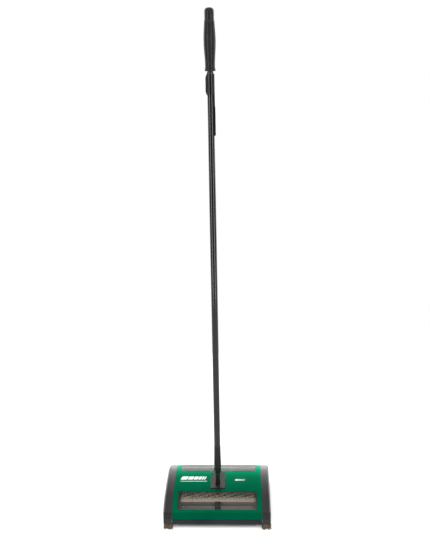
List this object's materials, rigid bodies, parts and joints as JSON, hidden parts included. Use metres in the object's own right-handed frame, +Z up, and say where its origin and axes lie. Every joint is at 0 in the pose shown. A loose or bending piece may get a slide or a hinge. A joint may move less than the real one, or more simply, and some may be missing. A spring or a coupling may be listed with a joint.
{
  "type": "carpet sweeper",
  "caption": "Manual carpet sweeper: low green head with smoked windows over a brush roll and drop-down dust pans, on wheels, with a long jointed tube handle that tilts.",
  "frame": {"origin": "on the floor under the middle of the head", "axes": "+X along the brush to the right, -Y the front of the head, +Z up along the handle at rest"},
  "size_m": [0.245, 0.203, 1.118],
  "materials": {
    "green_plastic": "moulded, semi-gloss",
    "smoked_plastic": "smoked clear plastic",
    "grey_plastic": "fine satin",
    "frame_plastic": "plain moulded",
    "bumper_rubber": "matte",
    "tyre_rubber": "matte",
    "steel": "bright",
    "bristle": "stiff bristles",
    "brass": "sintered",
    "tube_enamel": "gloss black enamel",
    "grip_rubber": "matte, fluted"
  },
  "bodies": {
    "head": {"top_cover": "green_plastic", "front_window": "smoked_plastic", "rear_window": "smoked_plastic", "left_end_cap": "grey_plastic", "right_end_cap": "grey_plastic", "base_frame": "frame_plastic", "front_bumper": "bumper_rubber", "rear_bumper": "bumper_rubber", "pivot_housing": "grey_plastic", "pivot_pin": "steel", "detent_spring": "steel", "front_left_brush_holder": "grey_plastic", "front_right_brush_holder": "grey_plastic", "rear_left_brush_holder": "grey_plastic", "rear_right_brush_holder": "grey_plastic", "front_left_tuft": "bristle", "front_right_tuft": "bristle", "rear_left_tuft": "bristle", "rear_right_tuft": "bristle", "wheel_axles": "steel", "left_bush": "brass", "right_bush": "brass", "front_pan_rod": "steel", "rear_pan_rod": "steel", "front_pan_springs": "steel", "rear_pan_springs": "steel", "cover_screws": "steel", "housing_screws": "steel", "end_cap_screws": "steel"},
    "handle": {"handle_yoke": "grey_plastic", "handle_ferrule": "grey_plastic", "handle_tube_1": "tube_enamel", "handle_tube_2": "tube_enamel", "handle_tube_3": "tube_enamel", "handle_tube_4": "tube_enamel", "hang_clip": "grip_rubber", "grip": "grip_rubber"},
    "brush": {"brush_core": "frame_plastic", "brush_bristles": "bristle", "brush_shaft": "steel", "left_drum": "tyre_rubber", "right_drum": "tyre_rubber"},
    "front_pan": {"front_dust_pan": "frame_plastic", "front_pan_catch": "frame_plastic"},
    "rear_pan": {"rear_dust_pan": "frame_plastic", "rear_pan_catch": "frame_plastic"},
    "front_left_wheel": {"front_left_hub": "frame_plastic", "front_left_tyre": "tyre_rubber"},
    "front_right_wheel": {"front_right_hub": "frame_plastic", "front_right_tyre": "tyre_rubber"},
    "rear_left_wheel": {"rear_left_hub": "frame_plastic", "rear_left_tyre": "tyre_rubber"},
    "rear_right_wheel": {"rear_right_hub": "frame_plastic", "rear_right_tyre": "tyre_rubber"}
  },
  "joints": [
    {"name": "handle_tilt", "type": "hinge", "parent": "head", "child": "handle", "pos_m": [0, 0, 0.058], "axis": [1, 0, 0], "range_deg": [-60, 50]},
    {"name": "brush_spin", "type": "hinge", "parent": "head", "child": "brush", "pos_m": [0, 0, 0.025], "axis": [1, 0, 0], "continuous": true},
    {"name": "front_left_wheel_spin", "type": "hinge", "parent": "head", "child": "front_left_wheel", "pos_m": [-0.0995, -0.0297, 0.019], "axis": [1, 0, 0], "continuous": true},
    {"name": "front_right_wheel_spin", "type": "hinge", "parent": "head", "child": "front_right_wheel", "pos_m": [0.0995, -0.0297, 0.019], "axis": [1, 0, 0], "continuous": true},
    {"name": "rear_left_wheel_spin", "type": "hinge", "parent": "head", "child": "rear_left_wheel", "pos_m": [-0.0995, 0.0297, 0.019], "axis": [1, 0, 0], "continuous": true},
    {"name": "rear_right_wheel_spin", "type": "hinge", "parent": "head", "child": "rear_right_wheel", "pos_m": [0.0995, 0.0297, 0.019], "axis": [1, 0, 0], "continuous": true},
    {"name": "front_pan_hinge", "type": "hinge", "parent": "head", "child": "front_pan", "pos_m": [0, -0.0215, 0.0068], "axis": [1, 0, 0], "range_deg": [0, 60], "stiffness_Nm_per_rad": 0.02, "springref_deg": -100.27, "deforming": ["front_pan_springs"]},
    {"name": "rear_pan_hinge", "type": "hinge", "parent": "head", "child": "rear_pan", "pos_m": [0, 0.0215, 0.0068], "axis": [-1, 0, 0], "range_deg": [0, 60], "stiffness_Nm_per_rad": 0.02, "springref_deg": -100.27, "deforming": ["rear_pan_springs"]}
  ],
  "couplings": [
    {"joint": "front_left_wheel_spin", "follows": "brush_spin", "ratio": -0.57895},
    {"joint": "front_right_wheel_spin", "follows": "brush_spin", "ratio": -0.57895},
    {"joint": "rear_left_wheel_spin", "follows": "brush_spin", "ratio": -0.57895},
    {"joint": "rear_right_wheel_spin", "follows": "brush_spin", "ratio": -0.57895}
  ]
}
